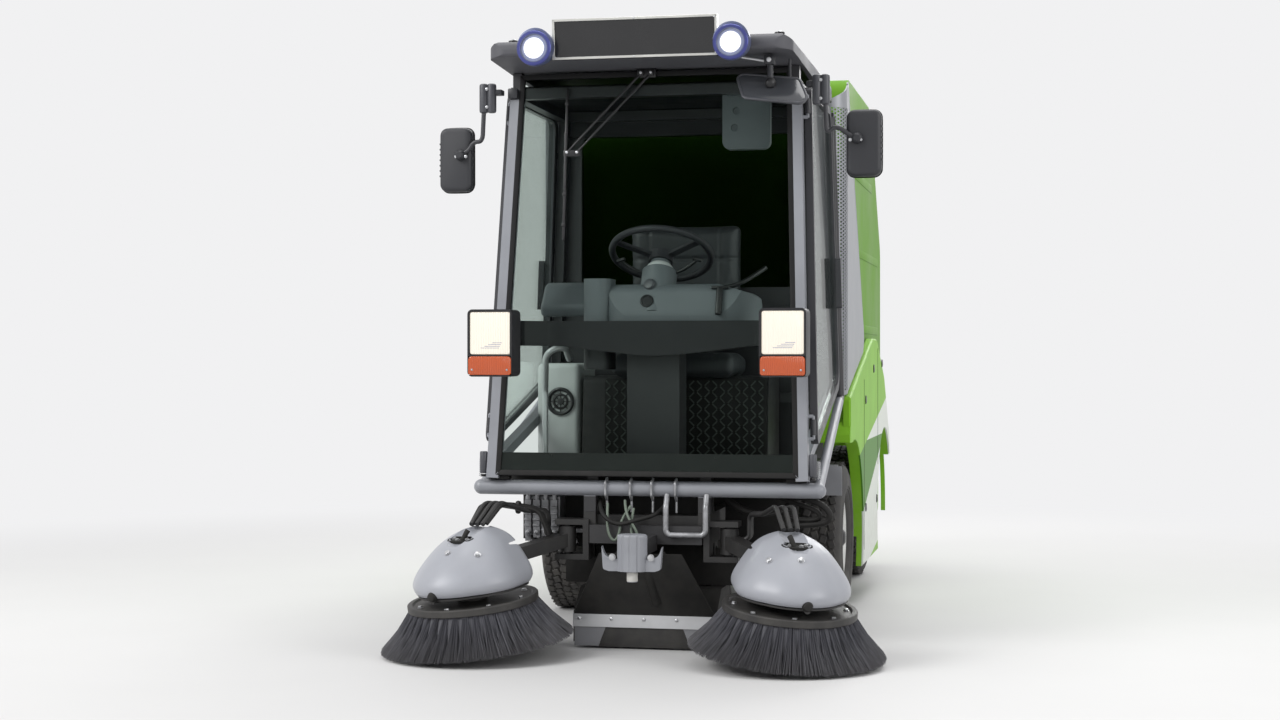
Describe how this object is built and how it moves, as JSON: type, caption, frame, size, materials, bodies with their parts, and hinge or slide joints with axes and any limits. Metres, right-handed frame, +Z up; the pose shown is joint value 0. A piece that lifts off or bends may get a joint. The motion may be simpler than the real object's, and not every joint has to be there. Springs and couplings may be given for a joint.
{
  "type": "compact road sweeper",
  "caption": "Compact road sweeper with a glazed cab, side brushes on swing arms, a suction nozzle, rear steering and a rear-tipping hopper.",
  "frame": {"origin": "on the ground, in the middle of the machine's length and width", "axes": "+X to the machine's left, -Y to its front, +Z up"},
  "size_m": [1.5994, 3.33, 2.0226],
  "materials": {
    "chassis_steel": "satin",
    "axle_iron": "rough",
    "black_plastic": "matte",
    "post_grey": "satin",
    "black_rubber": "matte",
    "clear_glass": "clear",
    "roof_plastic": "satin",
    "sign_black": "gloss",
    "lamp_housing": "satin",
    "seat_vinyl": "satin",
    "dash_plastic": "matte",
    "lamp_glass": "clear",
    "amber_lens": "gloss",
    "bright_steel": "brushed",
    "wiper_black": "satin",
    "mirror_plastic": "satin",
    "lime_paint": "gloss",
    "fender_grey": "satin",
    "screen_grey": "satin",
    "red_lens": "gloss",
    "fitting_steel": "satin",
    "cast_grey": "rough",
    "wheel_rim_plastic": "satin",
    "hopper_green": "satin",
    "chrome_rod": "polished",
    "door_black": "satin",
    "bristle": "matte",
    "cover_plastic": "satin",
    "tyre_rubber": "matte",
    "rim_white": "satin"
  },
  "bodies": {
    "root": {"chassis_frame": "chassis_steel", "front_axle": "axle_iron", "rear_axle": "axle_iron", "battery_block": "black_plastic", "cab_frame": "post_grey", "bumper_tube": "post_grey", "cab_floor": "black_plastic", "windscreen_seal": "black_rubber", "cab_glass": "clear_glass", "bulkhead": "post_grey", "roof_cap": "roof_plastic", "sign_board": "sign_black", "roof_lamps": "lamp_housing", "seat_base": "black_plastic", "seat_pads": "seat_vinyl", "dash_console": "dash_plastic", "lamp_beam": "black_plastic", "headlamp_lenses": "lamp_glass", "indicators": "amber_lens", "grab_handle": "bright_steel", "wiper": "wiper_black", "mirrors": "mirror_plastic", "side_panels": "lime_paint", "fenders": "fender_grey", "side_screens": "screen_grey", "tail_panel": "lime_paint", "tail_lamps": "red_lens", "suction_tube": "black_rubber", "nozzle_hood": "black_rubber", "nozzle_strip": "bright_steel", "crown_bracket": "cast_grey", "hopper_stand": "chassis_steel", "front_fittings": "fitting_steel", "overhead_panel": "dash_plastic"},
    "steering_wheel": {"steering_wheel": "wheel_rim_plastic"},
    "hopper": {"hopper_shell": "hopper_green", "hopper_brackets": "chassis_steel"},
    "hopper_door": {"hopper_door": "hopper_green"},
    "tip_barrel": {"tip_barrel": "chassis_steel"},
    "tip_rod": {"tip_rod": "chrome_rod"},
    "door_left": {"door_frame_left": "door_black", "door_glass_left": "clear_glass"},
    "knuckle_left": {"knuckle_left": "axle_iron"},
    "brush_left": {"brush_left": "bristle"},
    "brush_arm_left": {"brush_cover_left": "cover_plastic", "brush_arm_left": "chassis_steel"},
    "wheel_front_left": {"tyre_front_left": "tyre_rubber", "rim_front_left": "rim_white"},
    "wheel_rear_left": {"tyre_rear_left": "tyre_rubber", "rim_rear_left": "rim_white"},
    "door_right": {"door_frame_right": "door_black", "door_glass_right": "clear_glass"},
    "knuckle_right": {"knuckle_right": "axle_iron"},
    "brush_right": {"brush_right": "bristle"},
    "brush_arm_right": {"brush_cover_right": "cover_plastic", "brush_arm_right": "chassis_steel"},
    "wheel_front_right": {"tyre_front_right": "tyre_rubber", "rim_front_right": "rim_white"},
    "wheel_rear_right": {"tyre_rear_right": "tyre_rubber", "rim_rear_right": "rim_white"}
  },
  "joints": [
    {"name": "wheel_front_left_spin", "type": "hinge", "parent": "root", "child": "wheel_front_left", "pos_m": [0.478, -0.083, 0.28], "axis": [1, 0, 0], "continuous": true},
    {"name": "wheel_front_right_spin", "type": "hinge", "parent": "root", "child": "wheel_front_right", "pos_m": [-0.478, -0.083, 0.28], "axis": [1, 0, 0], "continuous": true},
    {"name": "steer_left", "type": "hinge", "parent": "root", "child": "knuckle_left", "pos_m": [0.312, 1.267, 0.28], "axis": [0, 0, 1], "range_deg": [-25, 25]},
    {"name": "steer_right", "type": "hinge", "parent": "root", "child": "knuckle_right", "pos_m": [-0.312, 1.267, 0.28], "axis": [0, 0, 1], "range_deg": [-25, 25]},
    {"name": "wheel_rear_left_spin", "type": "hinge", "parent": "knuckle_left", "child": "wheel_rear_left", "pos_m": [0.424, 1.267, 0.28], "axis": [1, 0, 0], "continuous": true},
    {"name": "wheel_rear_right_spin", "type": "hinge", "parent": "knuckle_right", "child": "wheel_rear_right", "pos_m": [-0.424, 1.267, 0.28], "axis": [1, 0, 0], "continuous": true},
    {"name": "steering_wheel_turn", "type": "hinge", "parent": "root", "child": "steering_wheel", "pos_m": [-0.02, -0.733, 1.3], "axis": [0, 0.4695, 0.8829], "range_deg": [-376, 376]},
    {"name": "door_left_swing", "type": "hinge", "parent": "root", "child": "door_left", "pos_m": [0.52596, -1.00134, 1.2], "axis": [0.032, -0.1196, -0.9923], "range_deg": [0, 70]},
    {"name": "door_right_swing", "type": "hinge", "parent": "root", "child": "door_right", "pos_m": [-0.52596, -1.00134, 1.2], "axis": [0.032, 0.1196, 0.9923], "range_deg": [0, 70]},
    {"name": "hopper_tip", "type": "hinge", "parent": "root", "child": "hopper", "pos_m": [0, 1.407, 0.78], "axis": [-1, 0, 0], "range_deg": [0, 50]},
    {"name": "hopper_door_swing", "type": "hinge", "parent": "hopper", "child": "hopper_door", "pos_m": [0, 1.531, 1.352], "axis": [1, 0, 0], "range_deg": [0, 75]},
    {"name": "cylinder_swing", "type": "hinge", "parent": "root", "child": "tip_barrel", "pos_m": [0, 1.097, 0.45], "axis": [-1, 0, 0], "range_deg": [-15, 15]},
    {"name": "cylinder_stroke", "type": "slide", "parent": "tip_barrel", "child": "tip_rod", "axis": [0, 0.283, 0.9591], "range_m": [0, 0.1851]},
    {"name": "brush_arm_left_swing", "type": "hinge", "parent": "root", "child": "brush_arm_left", "pos_m": [0.27, -1.073, 0.35], "axis": [0, 0, 1], "range_deg": [-10, 20]},
    {"name": "brush_arm_right_swing", "type": "hinge", "parent": "root", "child": "brush_arm_right", "pos_m": [-0.27, -1.073, 0.35], "axis": [0, 0, -1], "range_deg": [-10, 20]},
    {"name": "brush_left_spin", "type": "hinge", "parent": "brush_arm_left", "child": "brush_left", "pos_m": [0.50172, -1.36668, 0.14231], "axis": [0.0872, -0.0868, 0.9924], "continuous": true},
    {"name": "brush_right_spin", "type": "hinge", "parent": "brush_arm_right", "child": "brush_right", "pos_m": [-0.50172, -1.36668, 0.14231], "axis": [-0.0872, -0.0868, 0.9924], "continuous": true}
  ],
  "couplings": [
    {"joint": "steer_right", "follows": "steer_left", "ratio": 1},
    {"joint": "steering_wheel_turn", "follows": "steer_left", "ratio": -15},
    {"joint": "cylinder_swing", "follows": "hopper_tip", "ratio": 0.04518},
    {"joint": "cylinder_stroke", "follows": "hopper_tip", "m_per_rad": 0.20754}
  ]
}
